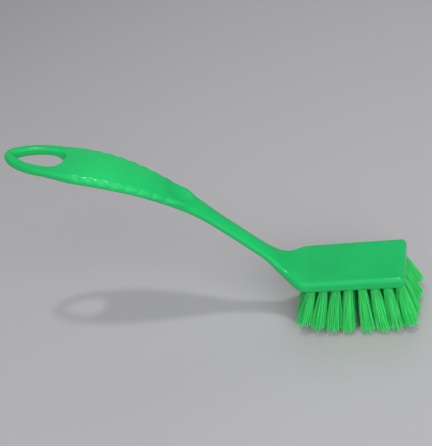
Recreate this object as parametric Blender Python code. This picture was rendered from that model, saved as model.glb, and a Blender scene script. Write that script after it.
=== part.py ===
"""Sink brush: a one-piece moulded body with a hanging eye, and 32 anchored bristle tufts.

Metres, +Z up. The head is level, +X points to its free end and -X up the handle. The trimmed
bristles stand on z = 0, and the origin is at the middle of the brush's outline on that level.
"""

import math

import bmesh
import bpy
import numpy as np
from mathutils import Matrix, Vector

MM = 0.001
DEGREE = math.pi / 180

# Clearance between a tuft's root and its socket
SEAT_GAP = 0.3 * MM
OVERRUN = 1.0 * MM

# Head block
HEAD_WIDTH = 42.0 * MM
HEAD_THICKNESS = 8.4 * MM
HEAD_EDGE_RADIUS = 3.0 * MM
HEAD_CORNER_RADIUS = 3.2 * MM
HEAD_FRONT_MARGIN = 4.2 * MM
HEAD_REAR_MARGIN = 1.3 * MM
CORNER_PLACES = (0, 0.07, 0.2, 0.4, 0.66, 1)
BLOCK_PLACES = (0.33, 0.67)

# Tufts, in columns along the head and rows across it
COLUMNS = 8
ROWS = 4
COLUMN_PITCH = 7.9 * MM
ROW_PITCH = 9.7 * MM
TUFT_DIAMETER = 4.8 * MM
TUFT_LENGTH = 33.8 * MM
SOCKET_DEPTH = 6.2 * MM
SOCKET_SIDES = 10

# Anchor: the flat wire that holds a tuft's folded bristles down in its socket
ANCHOR_BITE = 0.5 * MM
ANCHOR_THICKNESS = 0.6 * MM
ANCHOR_HEIGHT = 1.5 * MM

# Bristles: one in the middle of a tuft and two rings round it
RING_COUNTS = (1, 5, 8)
RING_SHARES = (0.0, 0.42, 0.80)
BRISTLE_RADIUS = 0.40 * MM
BRISTLE_SIDES = 3
BRISTLE_ROOT = 0.5 * MM
BRISTLE_TIP_SHARE = 0.80
TIP_SPREAD = 4.9 * MM
SIDE_SPREAD = 5.8 * MM
FAN_ANGLE = 20 * DEGREE
COLUMN_FAN_SHARES = (-1.15, -0.89, -0.63, -0.37, 0.03, 0.34, 0.44, 0.56)
CORNER_FAN = 3 * DEGREE
SPLAY_ANGLE = 12 * DEGREE
END_RISE = 4.3 * MM
END_POWER = 2.2
LOWEST_SHARE = 0.15
SIDE_RISE = 0.8 * MM
UNEVEN = 0.6 * MM
FLAT_CUT = 0.5 * MM

# Run of the handle's top line: bend, neck, arch, eye
BEND_RADIUS = 24.0 * MM
NECK_ANGLE = 46.8 * DEGREE
NECK_LENGTH = 56.8 * MM
ARCH_RADIUS = 172.0 * MM
EYE_ANGLE = 15.0 * DEGREE
EYE_LENGTH = 44.6 * MM

# Sections of the handle
NECK_WIDTH = 11.6 * MM
NECK_THICKNESS = 6.9 * MM
GRIP_WIDTH = 35.0 * MM
GRIP_THICKNESS = 8.7 * MM
EYE_THICKNESS = 6.6 * MM
GRIP_CROWN = 0.7 * MM
NOSE_LENGTH = 31.0 * MM
NOSE_POWER = 1.78
SECTION_STEP = 4.0 * MM
CORNER_STEPS = 4
NOSE_STEPS = 9
CORNER_SHARE = 0.92

# Along the handle: place, then how far the flare, the grip and the eye have come
FLARE_SHARES = (
    (0.0, 1.0), (0.07, 0.995), (0.14, 0.955), (0.22, 0.82), (0.33, 0.55),
    (0.46, 0.31), (0.62, 0.13), (0.81, 0.03), (1.0, 0.0),
)
FLARE_LENGTH = 36.0 * MM
THINNING_LENGTH = 10.0 * MM
GRIP_SHARES = (
    (0.0, 0.0), (0.13, 0.02), (0.26, 0.145), (0.42, 0.38),
    (0.59, 0.62), (0.76, 0.84), (0.90, 0.965), (1.0, 1.0),
)
GRIP_START = 57.3 * MM
GRIP_RUN = 105.0 * MM
EYE_START = 168.0 * MM
EYE_WIDTH_SHARE = 0.92

# Hanging eye: a drop-shaped hole with rounded rims
HOLE_LENGTH = 32.2 * MM
HOLE_WIDTH = 18.0 * MM
HOLE_TO_TIP = 6.0 * MM
HOLE_POINT_SHARE = 0.74
HOLE_POINT_POWER = 2.5
HOLE_ROUND_POWER = 2.5
RIM_RADIUS = 2.9 * MM
RIM_STEPS = 4
HOLE_STEPS = 9

# Scallops across both upper edges of the grip, and the thumb rest at its lower end
SCALLOPS = 8
SCALLOP_PITCH = 8.3 * MM
SCALLOP_FIRST = 103.3 * MM
SCALLOP_DEPTH = 0.6 * MM
SCALLOP_SHARE = 0.33
SCALLOP_SIDES = 20
SCALLOP_TILT = 50 * DEGREE
THUMB_PLACE = 100.0 * MM
THUMB_LENGTH = 17.0 * MM
THUMB_WIDTH = 17.0 * MM
THUMB_DEPTH = 1.6 * MM
THUMB_BALL = 4.0 * MM
THUMB_TILT = 14 * DEGREE
THUMB_SIDES = 28
THUMB_RINGS = 24

# Colours are linear, and edges sharper than the angle stay sharp in shading
BODY_COLOUR = (0.027, 0.509, 0.150)
BODY_ROUGHNESS = 0.30
BRISTLE_COLOUR = (0.034, 0.509, 0.112)
BRISTLE_ROUGHNESS = 0.45
SHARP_ANGLE = 35 * DEGREE

# Derived places
TUFT_RADIUS = TUFT_DIAMETER / 2
SOCKET_RADIUS = TUFT_RADIUS + SEAT_GAP
LAST_COLUMN = COLUMN_PITCH * (COLUMNS - 1) / 2
LAST_ROW = ROW_PITCH * (ROWS - 1) / 2
HEAD_FRONT = LAST_COLUMN + HEAD_FRONT_MARGIN
HEAD_REAR = -LAST_COLUMN - HEAD_REAR_MARGIN
BEND_RUN = BEND_RADIUS * NECK_ANGLE
ARCH_RUN = ARCH_RADIUS * (NECK_ANGLE - EYE_ANGLE)
HANDLE_RUN = BEND_RUN + NECK_LENGTH + ARCH_RUN + EYE_LENGTH
SPINE_RUNS = ((BEND_RUN, BEND_RADIUS), (NECK_LENGTH, None), (ARCH_RUN, -ARCH_RADIUS), (EYE_LENGTH, None))
NOSE_START = HANDLE_RUN - NOSE_LENGTH
HOLE_OUTER = HANDLE_RUN - HOLE_TO_TIP
GOLDEN_SHARE = (math.sqrt(5) - 1) / 2


def clear_scene():
    for old in list(bpy.data.objects):
        bpy.data.objects.remove(old, do_unlink=True)


def new_collection(name):
    collection = bpy.data.collections.new(name)
    bpy.context.scene.collection.children.link(collection)
    return collection


def plastic(name, colour, roughness):
    """An opaque moulding plastic; the colour is linear."""
    material = bpy.data.materials.new(name)
    material.use_nodes = True
    shader = material.node_tree.nodes["Principled BSDF"]
    shader.inputs["Base Color"].default_value = (*colour, 1)
    shader.inputs["Roughness"].default_value = roughness
    shader.inputs["Metallic"].default_value = 0
    return material


def object_from(shape, name, collection):
    """A mesh object made of a finished bmesh."""
    bmesh.ops.recalc_face_normals(shape, faces=shape.faces)
    mesh = bpy.data.meshes.new(name)
    shape.to_mesh(mesh)
    shape.free()
    made = bpy.data.objects.new(name, mesh)
    collection.objects.link(made)
    return made


def loft(name, rings, collection):
    """A closed skin over rings of equally many points."""
    shape = bmesh.new()
    rows = [[shape.verts.new(point) for point in ring] for ring in rings]
    count = len(rows[0])
    for near, far in zip(rows, rows[1:]):
        for i in range(count):
            j = (i + 1) % count
            shape.faces.new((near[i], near[j], far[j], far[i]))
    shape.faces.new(rows[0])
    shape.faces.new(rows[-1])
    return object_from(shape, name, collection)


def boolean(target, other, operation):
    """Cuts or joins another object as a modifier, and makes that object a hidden helper."""
    modifier = target.modifiers.new(other.name, "BOOLEAN")
    modifier.object = other
    modifier.operation = operation
    modifier.solver = "EXACT"
    other.hide_render = True
    other.display_type = "WIRE"


def smooth_value(rows, place):
    """The value at a place on a smooth curve through rows of place and value."""
    places, values = np.array(rows).T
    slopes = np.gradient(values, places)
    i = int(np.clip(np.searchsorted(places, place) - 1, 0, len(places) - 2))
    span = places[i + 1] - places[i]
    t = min(max((place - places[i]) / span, 0), 1)
    rest = 1 - t
    start = (1 + 2 * t) * rest**2 * values[i] + t * rest**2 * span * slopes[i]
    end = t**2 * (3 - 2 * t) * values[i + 1] - t**2 * rest * span * slopes[i + 1]
    return float(start + end)


def spine(distance):
    """The x, z and upward angle of the handle's top line, that far from the head."""
    x, z, angle = HEAD_REAR, 0.0, 0.0
    for length, radius in SPINE_RUNS:
        step = min(distance, length)
        if radius is None:
            x -= step * math.cos(angle)
            z += step * math.sin(angle)
        else:
            turned = angle + step / radius
            x -= radius * (math.sin(turned) - math.sin(angle))
            z += radius * (math.cos(angle) - math.cos(turned))
            angle = turned
        distance -= step
    return x, z, angle


def spine_frame(distance, depth):
    """Axes along the handle, across it and out of its top, at a depth under the top line."""
    x, z, angle = spine(distance)
    along = Vector((-math.cos(angle), 0, math.sin(angle)))
    up = Vector((math.sin(angle), 0, math.cos(angle)))
    across = up.cross(along)
    place = Vector((x, 0, z)) - up * depth
    return Matrix.Translation(place) @ Matrix((along, across, up)).transposed().to_4x4()


def grip_share(distance):
    return smooth_value(GRIP_SHARES, (distance - GRIP_START) / GRIP_RUN)


def eye_share(distance):
    """How far the grip has turned into the flatter, slightly narrower eye."""
    return min(max((distance - EYE_START) / (NOSE_START - EYE_START), 0), 1)


def handle_width(distance):
    flare = smooth_value(FLARE_SHARES, distance / FLARE_LENGTH)
    grip = grip_share(distance)
    eye = 1 - (1 - EYE_WIDTH_SHARE) * eye_share(distance)
    return NECK_WIDTH + (HEAD_WIDTH - NECK_WIDTH) * flare + (GRIP_WIDTH * eye - NECK_WIDTH) * grip


def handle_thickness(distance):
    head = 1 - min(distance / THINNING_LENGTH, 1)
    grip = GRIP_THICKNESS + (EYE_THICKNESS - GRIP_THICKNESS) * eye_share(distance)
    thickness = NECK_THICKNESS + (HEAD_THICKNESS - NECK_THICKNESS) * head
    return thickness + (grip - NECK_THICKNESS) * grip_share(distance)


def section(half_width, half_thickness, corner, crown):
    """A rounded rectangle, a little higher in the middle, as points across and up."""
    points = []
    for quarter, (across, up) in enumerate(((1, 1), (-1, 1), (-1, -1), (1, -1))):
        centre = (across * (half_width - corner), up * (half_thickness - crown - corner))
        for step in range(CORNER_STEPS + 1):
            turn = (quarter + step / CORNER_STEPS) * math.pi / 2
            points.append((centre[0] + corner * math.cos(turn), centre[1] + corner * math.sin(turn)))
        if quarter in (0, 2):
            points.append((0.0, up * half_thickness))
    return points


def ring_at(frame, points):
    return [frame @ Vector((0, across, up)) for across, up in points]


def rounded(radius, into):
    """How far a rounded edge still lies inside its full size, at a distance in from the end."""
    if into >= radius:
        return 0.0
    return radius - math.sqrt(radius**2 - (radius - into) ** 2)


def head_rings():
    """The block, from its rounded free end to where the handle leaves it."""
    rings = []
    frame = spine_frame(0, HEAD_THICKNESS / 2)
    block_run = HEAD_FRONT - HEAD_CORNER_RADIUS - HEAD_REAR
    places = [HEAD_CORNER_RADIUS * share for share in CORNER_PLACES]
    places += [HEAD_CORNER_RADIUS + block_run * share for share in BLOCK_PLACES]
    for into in places:
        half_width = HEAD_WIDTH / 2 - rounded(HEAD_CORNER_RADIUS, into)
        half_thickness = HEAD_THICKNESS / 2 - rounded(HEAD_EDGE_RADIUS, into)
        corner = min(HEAD_EDGE_RADIUS, half_thickness * CORNER_SHARE)
        shift = Matrix.Translation(Vector((HEAD_FRONT - into - HEAD_REAR, 0, 0)))
        rings.append(ring_at(shift @ frame, section(half_width, half_thickness, corner, 0)))
    return rings


def handle_rings():
    """The neck, grip and eye, from the head to the rounded tip."""
    count = round(NOSE_START / SECTION_STEP)
    places = [NOSE_START * i / count for i in range(count)]
    for step in range(NOSE_STEPS):
        places.append(NOSE_START + NOSE_LENGTH * math.sin(math.pi / 2 * step / NOSE_STEPS))
    places.append(HANDLE_RUN - (HANDLE_RUN - places[-1]) / CORNER_STEPS)
    rings = []
    for distance in places:
        thickness = handle_thickness(distance)
        nose = max(distance - NOSE_START, 0) / NOSE_LENGTH
        half_width = handle_width(distance) / 2 * (1 - nose**NOSE_POWER) ** (1 / NOSE_POWER)
        half_thickness = thickness / 2 - rounded(thickness / 2, HANDLE_RUN - distance) * CORNER_SHARE
        flare = smooth_value(FLARE_SHARES, distance / FLARE_LENGTH)
        crown = min(GRIP_CROWN * (1 - flare), half_thickness / 2) * (1 - nose)
        full = min(half_thickness - crown, half_width) * CORNER_SHARE
        corner = full + (min(HEAD_EDGE_RADIUS, full) - full) * flare
        frame = spine_frame(distance, thickness / 2)
        rings.append(ring_at(frame, section(half_width, half_thickness, corner, crown)))
    return rings


def socket_places():
    """Row, column and mouth centre of each socket on the underside of the head."""
    for row in range(ROWS):
        for column in range(COLUMNS):
            x = column * COLUMN_PITCH - LAST_COLUMN
            y = row * ROW_PITCH - LAST_ROW
            yield row, column, Vector((x, y, -HEAD_THICKNESS))


def cut_sockets(body, cutters):
    """Blind holes for the tufts, each with a slot at its floor for the anchor."""
    holes = bmesh.new()
    slots = bmesh.new()
    hole_height = SOCKET_DEPTH + OVERRUN
    slot_size = Vector((ANCHOR_THICKNESS, 2 * (TUFT_RADIUS + ANCHOR_BITE), ANCHOR_HEIGHT))
    slot_size += Vector((1, 1, 0)) * 2 * SEAT_GAP + Vector((0, 0, 1)) * SEAT_GAP
    for _, _, mouth in socket_places():
        middle = mouth + Vector((0, 0, hole_height / 2 - OVERRUN))
        bmesh.ops.create_cone(
            holes, cap_ends=True, segments=SOCKET_SIDES, radius1=SOCKET_RADIUS,
            radius2=SOCKET_RADIUS, depth=hole_height, matrix=Matrix.Translation(middle),
        )
        at_floor = Matrix.Translation(mouth + Vector((0, 0, SOCKET_DEPTH - slot_size.z / 2)))
        bmesh.ops.create_cube(slots, size=1, matrix=at_floor @ Matrix.Diagonal((*slot_size, 1)))
    boolean(body, object_from(holes, "sockets", cutters), "DIFFERENCE")
    boolean(body, object_from(slots, "anchor_slots", cutters), "DIFFERENCE")


def drop_outline(half_width, length, grow):
    """The eye's drop: blunt toward the grip and a point toward the tip, as along and across."""
    point_run = length * HOLE_POINT_SHARE
    round_run = length - point_run
    side = []
    for step in range(HOLE_STEPS):
        share = 1 - step / HOLE_STEPS
        along = share * (point_run + grow)
        side.append((along, (half_width + grow) * (1 - share**HOLE_POINT_POWER)))
    for step in range(HOLE_STEPS + 1):
        turn = math.pi / 2 * step / HOLE_STEPS
        blunt = 2 / HOLE_ROUND_POWER
        along = -(round_run + grow) * math.sin(turn) ** blunt
        side.append((along, (half_width + grow) * math.cos(turn) ** blunt))
    side[-1] = (side[-1][0], 0.0)
    return side + [(along, -across) for along, across in side[-2:0:-1]]


def cut_eye(body, cutters):
    """The drop-shaped hole, which opens out at both faces as a rounded rim does."""
    widest = HOLE_OUTER - HOLE_LENGTH * HOLE_POINT_SHARE
    frame = spine_frame(widest, 0)
    straight = EYE_THICKNESS / 2 - RIM_RADIUS
    levels = [(EYE_THICKNESS / 2 + OVERRUN, RIM_RADIUS)]
    for step in range(RIM_STEPS + 1):
        turn = math.pi / 2 * (1 - step / RIM_STEPS)
        levels.append((straight + RIM_RADIUS * math.sin(turn), RIM_RADIUS * (1 - math.cos(turn))))
    levels += [(-height, grow) for height, grow in reversed(levels)]
    rings = []
    for height, grow in levels:
        ring = []
        for along, across in drop_outline(HOLE_WIDTH / 2, HOLE_LENGTH, grow):
            # The cutter follows the handle, which thins toward the tip
            thicker = handle_thickness(widest + along) / EYE_THICKNESS
            ring.append(frame @ Vector((along, across, (height - EYE_THICKNESS / 2) * thicker)))
        rings.append(ring)
    boolean(body, loft("eye_cut", rings, cutters), "DIFFERENCE")


def cut_scallops(body, cutters):
    """Shallow hollows across both upper edges of the grip, square to the rounding there."""
    radius = SCALLOP_PITCH * SCALLOP_SHARE
    shape = bmesh.new()
    for i in range(SCALLOPS):
        distance = SCALLOP_FIRST + i * SCALLOP_PITCH
        edge_radius = handle_thickness(distance) / 2 * CORNER_SHARE
        frame = spine_frame(distance, handle_thickness(distance) / 2)
        for side in (-1, 1):
            edge = Matrix.Translation((0, side * (handle_width(distance) / 2 - edge_radius), 0))
            lean = Matrix.Rotation(-side * SCALLOP_TILT, 4, "X")
            out = Matrix.Translation((0, 0, edge_radius - SCALLOP_DEPTH + radius))
            lie = Matrix.Rotation(math.pi / 2, 4, "X")
            bmesh.ops.create_cone(
                shape, cap_ends=True, segments=SCALLOP_SIDES, radius1=radius, radius2=radius,
                depth=GRIP_THICKNESS, matrix=frame @ edge @ lean @ out @ lie,
            )
    boolean(body, object_from(shape, "scallops", cutters), "DIFFERENCE")


def cut_thumb_rest(body, cutters):
    """A shallow dish across the lower end of the grip."""
    # The ball's cut at the surface has the named length and width
    sink = THUMB_BALL - THUMB_DEPTH
    widen = THUMB_BALL / math.sqrt(THUMB_BALL**2 - sink**2)
    size = Vector((THUMB_LENGTH / 2 * widen, THUMB_WIDTH / 2 * widen, THUMB_BALL))
    tilt = Matrix.Rotation(-THUMB_TILT, 4, "Y") @ Matrix.Translation((0, 0, sink))
    placed = spine_frame(THUMB_PLACE, 0) @ tilt @ Matrix.Diagonal((*size, 1))
    shape = bmesh.new()
    bmesh.ops.create_uvsphere(
        shape, u_segments=THUMB_SIDES, v_segments=THUMB_RINGS, radius=1, matrix=placed,
    )
    boolean(body, object_from(shape, "thumb_rest", cutters), "DIFFERENCE")


def build_body(parts, cutters):
    body = loft("handle_body", head_rings() + handle_rings(), parts)
    cut_sockets(body, cutters)
    cut_eye(body, cutters)
    cut_scallops(body, cutters)
    cut_thumb_rest(body, cutters)
    body.data.shade_smooth()
    body.data.set_sharp_from_angle(angle=SHARP_ANGLE)
    body.data.materials.append(plastic("moulded_green", BODY_COLOUR, BODY_ROUGHNESS))
    return body


def bristle_depth(base_x, base_y, unevenness):
    """How far under the head a bristle ends: a gentle dome, trimmed flat where it is lowest."""
    end = END_RISE * abs(base_x / LAST_COLUMN - LOWEST_SHARE) ** END_POWER
    side = SIDE_RISE * (base_y / LAST_ROW) ** 2
    return min(TUFT_LENGTH + FLAT_CUT - end - side - UNEVEN * unevenness, TUFT_LENGTH)


def bristles(name, row, column, mouth, cutters):
    """The strands of one tuft, spreading from its mouth, with places given about that mouth."""
    # The far rows lean out more toward both ends than the near ones
    corner = CORNER_FAN * mouth.x / LAST_COLUMN * mouth.y / LAST_ROW
    lean_x = math.tan(FAN_ANGLE * COLUMN_FAN_SHARES[column] + corner)
    lean_y = math.tan(SPLAY_ANGLE * mouth.y / LAST_ROW)
    shape = bmesh.new()
    number = row * COLUMNS + column
    for count, share in zip(RING_COUNTS, RING_SHARES):
        for i in range(count):
            turn = 2 * math.pi * (i / count + GOLDEN_SHARE * (row + column))
            outward = Vector((math.cos(turn), math.sin(turn)))
            unevenness = number * GOLDEN_SHARE % 1
            depth = bristle_depth(mouth.x, mouth.y, unevenness)
            number += 1
            start = outward * TUFT_RADIUS * share
            spread = Vector((outward.x * TIP_SPREAD, outward.y * SIDE_SPREAD)) * share
            end = spread + Vector((lean_x, lean_y)) * depth
            # A shear keeps the strand's root and its trimmed tip level
            slant = (end - start) / depth
            shear = Matrix(((1, 0, -slant.x, 0), (0, 1, -slant.y, 0), (0, 0, 1, 0), (0, 0, 0, 1)))
            drop = Matrix.Translation((0, 0, (BRISTLE_ROOT - depth) / 2))
            placed = Matrix.Translation((start.x, start.y, 0)) @ shear @ drop
            bmesh.ops.create_cone(
                shape, cap_ends=True, segments=BRISTLE_SIDES, depth=depth + BRISTLE_ROOT,
                radius1=BRISTLE_RADIUS * BRISTLE_TIP_SHARE, radius2=BRISTLE_RADIUS,
                matrix=placed @ Matrix.Rotation(turn, 4, "Z"),
            )
    made = object_from(shape, name, cutters)
    made.location = mouth
    return made


def build_tuft(row, column, mouth, parts, cutters, material):
    """Folded roots in a socket, their anchor and the bristles, as one solid."""
    name = f"tuft_r{row + 1}_c{column + 1}"
    height = SOCKET_DEPTH - SEAT_GAP
    roots = bmesh.new()
    bmesh.ops.create_cone(
        roots, cap_ends=True, segments=SOCKET_SIDES, radius1=TUFT_RADIUS, radius2=TUFT_RADIUS,
        depth=height, matrix=Matrix.Translation((0, 0, height / 2)),
    )
    tuft = object_from(roots, name, parts)
    tuft.location = mouth
    anchor = bmesh.new()
    size = (ANCHOR_THICKNESS, 2 * (TUFT_RADIUS + ANCHOR_BITE), ANCHOR_HEIGHT, 1)
    centre = Matrix.Translation((0, 0, height - ANCHOR_HEIGHT / 2))
    bmesh.ops.create_cube(anchor, size=1, matrix=centre @ Matrix.Diagonal(size))
    wire = object_from(anchor, name + "_anchor", cutters)
    wire.location = mouth
    boolean(tuft, wire, "UNION")
    boolean(tuft, bristles(name + "_bristles", row, column, mouth, cutters), "UNION")
    tuft.data.materials.append(material)
    return tuft


def set_down(objects):
    """Parents everything to an empty that puts the origin under the middle of the brush."""
    bpy.context.view_layer.update()
    graph = bpy.context.evaluated_depsgraph_get()
    points = []
    for item in objects:
        if not item.hide_render:
            evaluated = item.evaluated_get(graph)
            points += [item.matrix_world @ vertex.co for vertex in evaluated.data.vertices]
    base = bpy.data.objects.new("brush_base", None)
    bpy.context.scene.collection.objects.link(base)
    x_values = [point.x for point in points]
    base.location = (-(min(x_values) + max(x_values)) / 2, 0, HEAD_THICKNESS + TUFT_LENGTH)
    for item in objects:
        item.parent = base


def main():
    clear_scene()
    parts = new_collection("sink_brush")
    cutters = new_collection("sink_brush_cutters")
    build_body(parts, cutters)
    nylon = plastic("bristle_green", BRISTLE_COLOUR, BRISTLE_ROUGHNESS)
    for row, column, mouth in socket_places():
        build_tuft(row, column, mouth, parts, cutters, nylon)
    set_down([*parts.objects, *cutters.objects])


main()
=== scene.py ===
# %% [markdown]
# # A sink brush
#
# This is a kitchen sink brush. One moulding of green plastic makes its hanging eye, its arched
# grip, its narrow neck and its flat head, and 32 tufts of straight filament stand in the head.
# The solid model gives every place and size. This notebook loads it as a fixed frame, and builds
# a smoother body and fuller tufts in the same places, because a solid model keeps its faces few.

# %% Load the solid model
import math

import bmesh
import bpy
import numpy as np
from mathutils import Matrix, Vector


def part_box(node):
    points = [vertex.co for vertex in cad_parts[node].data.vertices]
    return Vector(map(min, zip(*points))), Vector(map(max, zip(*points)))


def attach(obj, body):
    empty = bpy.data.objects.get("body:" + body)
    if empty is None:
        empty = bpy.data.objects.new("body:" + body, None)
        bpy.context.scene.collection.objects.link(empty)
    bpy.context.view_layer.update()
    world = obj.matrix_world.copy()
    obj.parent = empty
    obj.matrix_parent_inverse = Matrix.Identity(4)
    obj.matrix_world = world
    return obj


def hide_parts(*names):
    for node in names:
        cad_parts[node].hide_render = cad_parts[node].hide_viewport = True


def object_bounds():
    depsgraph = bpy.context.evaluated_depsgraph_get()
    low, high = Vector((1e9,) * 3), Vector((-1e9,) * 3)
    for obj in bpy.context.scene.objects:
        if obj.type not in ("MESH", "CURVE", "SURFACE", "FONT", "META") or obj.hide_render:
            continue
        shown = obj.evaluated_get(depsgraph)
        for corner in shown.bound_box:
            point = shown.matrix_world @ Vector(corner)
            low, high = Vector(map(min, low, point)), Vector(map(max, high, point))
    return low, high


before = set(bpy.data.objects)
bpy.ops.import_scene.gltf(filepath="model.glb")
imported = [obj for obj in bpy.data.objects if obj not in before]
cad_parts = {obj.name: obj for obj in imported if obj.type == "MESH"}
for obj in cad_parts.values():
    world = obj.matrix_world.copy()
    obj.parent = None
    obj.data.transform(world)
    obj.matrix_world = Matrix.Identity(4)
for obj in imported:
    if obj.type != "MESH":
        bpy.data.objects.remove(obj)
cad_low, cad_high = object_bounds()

print("the solid model spans", cad_low, cad_high)

# %% [markdown]
# ## Units and colours
#
# Every length is in metres, so a millimetre has a name of its own and sizes read like a drawing.
# A colour is written as sRGB hex. A shader reckons in linear light instead, so
# one function takes off the curve that the sRGB standard lays over each channel.

# %% Units and colours
MM = 0.001
DEGREE = math.pi / 180


def linear(hex_colour):
    """An sRGB hex colour as linear red, green, blue and alpha, by the standard's own numbers."""
    channels = [int(hex_colour[i:i + 2], 16) / 255 for i in (1, 3, 5)]
    light = [c / 12.92 if c <= 0.04045 else ((c + 0.055) / 1.055) ** 2.4 for c in channels]
    return (*light, 1.0)


print("bright green as linear values:", [round(c, 3) for c in linear("#2EC070")])

# %% [markdown]
# ## Small helpers
#
# Three helpers carry the rest of the notebook. One adds a shader node with its settings and
# links, so that a material reads as a list, from its textures down to its shader. One starts an
# empty material, and one turns a finished bmesh into an object.

# %% Helpers for nodes, materials and objects
def add_node(tree, kind, settings=(), inputs=(), links=()):
    """Adds one shader node: settings are its own, inputs its socket values, links feed its sockets."""
    node = tree.nodes.new(kind)
    for name, value in dict(settings).items():
        setattr(node, name, value)
    for name, value in dict(inputs).items():
        node.inputs[name].default_value = value
    for name, source in dict(links).items():
        tree.links.new(source, node.inputs[name])
    return node


def new_material(name):
    """An empty material with its output node."""
    material = bpy.data.materials.new(name)
    material.use_nodes = True
    material.node_tree.nodes.clear()
    return material, add_node(material.node_tree, "ShaderNodeOutputMaterial")


def object_from(shape, name):
    """A scene object made of a finished bmesh."""
    bmesh.ops.recalc_face_normals(shape, faces=shape.faces)
    mesh = bpy.data.meshes.new(name)
    shape.to_mesh(mesh)
    shape.free()
    made = bpy.data.objects.new(name, mesh)
    bpy.context.scene.collection.objects.link(made)
    return made


print("helpers:", add_node.__name__, new_material.__name__, object_from.__name__)

# %% [markdown]
# ## Polypropylene, injection moulded: its green
#
# The body is polypropylene, shot into a polished steel mould. The pigment is not stirred in
# perfectly, so the green drifts a little over a few centimetres. On the upper grip a soft patch
# is painted paler, a painted sheen where the light falls brightest, and edges that stand proud
# are rubbed paler still. One could paint this as a texture. A noise in real sizes and two soft
# ranges do it without any image, and look right from all sides.

# %% The body's green
PIGMENT_DRIFT = 28 * MM
# The painted sheen: a paler patch round this place on the grip, where the light falls brightest
PAINTED_SHEEN_PLACE = -58 * MM
PAINTED_SHEEN_RUN = 34 * MM
PAINTED_SHEEN_SHARE = 0.5
RUBBED_SHARE = 0.35
# A noise gathers round a half, so the pigment's ramp runs between these two of its values
PIGMENT_RANGE = (0.34, 0.68)
# Pointiness is a half on a flat face and more on an edge that stands proud
PROUD_RANGE = (0.515, 0.60)


def moulded_green(tree, place):
    """The moulding's colour: drifting pigment, a painted sheen on the grip, and rubbed pale edges."""
    drift = add_node(
        tree, "ShaderNodeTexNoise",
        inputs={"Scale": 1 / PIGMENT_DRIFT, "Detail": 3.0, "Roughness": 0.55}, links={"Vector": place},
    )
    pigment = add_node(tree, "ShaderNodeValToRGB", links={"Fac": drift.outputs["Fac"]})
    deep, light = pigment.color_ramp.elements
    deep.position, light.position = PIGMENT_RANGE
    deep.color, light.color = linear("#04AF5B"), linear("#0CB961")

    # Painted sheen: the green turns paler toward one place on the grip, a pool of light painted on
    along = add_node(tree, "ShaderNodeSeparateXYZ", links={"Vector": place}).outputs["X"]
    from_sheen_place = add_node(
        tree, "ShaderNodeMath", settings={"operation": "SUBTRACT"},
        inputs={1: PAINTED_SHEEN_PLACE}, links={0: along},
    )
    either_side = add_node(
        tree, "ShaderNodeMath", settings={"operation": "ABSOLUTE"},
        links={0: from_sheen_place.outputs["Value"]},
    )
    sheen_share = add_node(
        tree, "ShaderNodeMapRange", settings={"interpolation_type": "SMOOTHSTEP"},
        inputs={"From Min": PAINTED_SHEEN_RUN, "From Max": 0.0, "To Max": PAINTED_SHEEN_SHARE},
        links={"Value": either_side.outputs["Value"]},
    )
    sheen_painted = add_node(
        tree, "ShaderNodeMix", settings={"data_type": "RGBA"}, inputs={"B": linear("#19C969")},
        links={"Factor": sheen_share.outputs["Result"], "A": pigment.outputs["Color"]},
    )

    edge = add_node(tree, "ShaderNodeNewGeometry").outputs["Pointiness"]
    rubbed = add_node(
        tree, "ShaderNodeMapRange", settings={"interpolation_type": "SMOOTHSTEP"},
        inputs={"From Min": PROUD_RANGE[0], "From Max": PROUD_RANGE[1], "To Max": RUBBED_SHARE},
        links={"Value": edge},
    )
    paled = add_node(
        tree, "ShaderNodeMix", settings={"data_type": "RGBA"}, inputs={"B": linear("#2AC873")},
        links={"Factor": rubbed.outputs["Result"], "A": sheen_painted.outputs["Result"]},
    )
    return paled.outputs["Result"]


print(f"the green drifts over {PIGMENT_DRIFT / MM:.0f} mm")

# %% [markdown]
# ## Polypropylene, injection moulded: its gloss and skin
#
# A polished mould leaves the plastic smooth and fairly glossy, with a faint waviness that the eye
# knows as moulding: the shine breaks up softly and never mirrors. Handling then dulls it in soft
# patches. Waves this low would take millions of faces to model, so two bumps tilt the light
# instead. The wave has about its real size. The resin's own grain is finer than a tenth of a
# millimetre and wouldn't show, so it is drawn several times as coarse.

# %% The body's plastic
RUB_MARKS = 9 * MM
GLOSSY_ROUGHNESS = 0.16
DULLED_ROUGHNESS = 0.27
# Most of a noise lies between these two values
NOISE_RANGE = (0.3, 0.7)
SURFACE_WAVE = 2.6 * MM
WAVE_HEIGHT = 0.03 * MM
WAVE_STRENGTH = 0.35
FINE_GRAIN = 0.7 * MM
GRAIN_HEIGHT = 0.008 * MM
GRAIN_STRENGTH = 0.25
POLYPROPYLENE_IOR = 1.49


def moulded_gloss(tree, place):
    """The moulding's roughness, in soft patches as hands leave them."""
    rub = add_node(
        tree, "ShaderNodeTexNoise",
        inputs={"Scale": 1 / RUB_MARKS, "Detail": 4.0, "Roughness": 0.6}, links={"Vector": place},
    )
    roughness = add_node(
        tree, "ShaderNodeMapRange",
        inputs={
            "From Min": NOISE_RANGE[0], "From Max": NOISE_RANGE[1],
            "To Min": GLOSSY_ROUGHNESS, "To Max": DULLED_ROUGHNESS,
        },
        links={"Value": rub.outputs["Fac"]},
    )
    return roughness.outputs["Result"]


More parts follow.
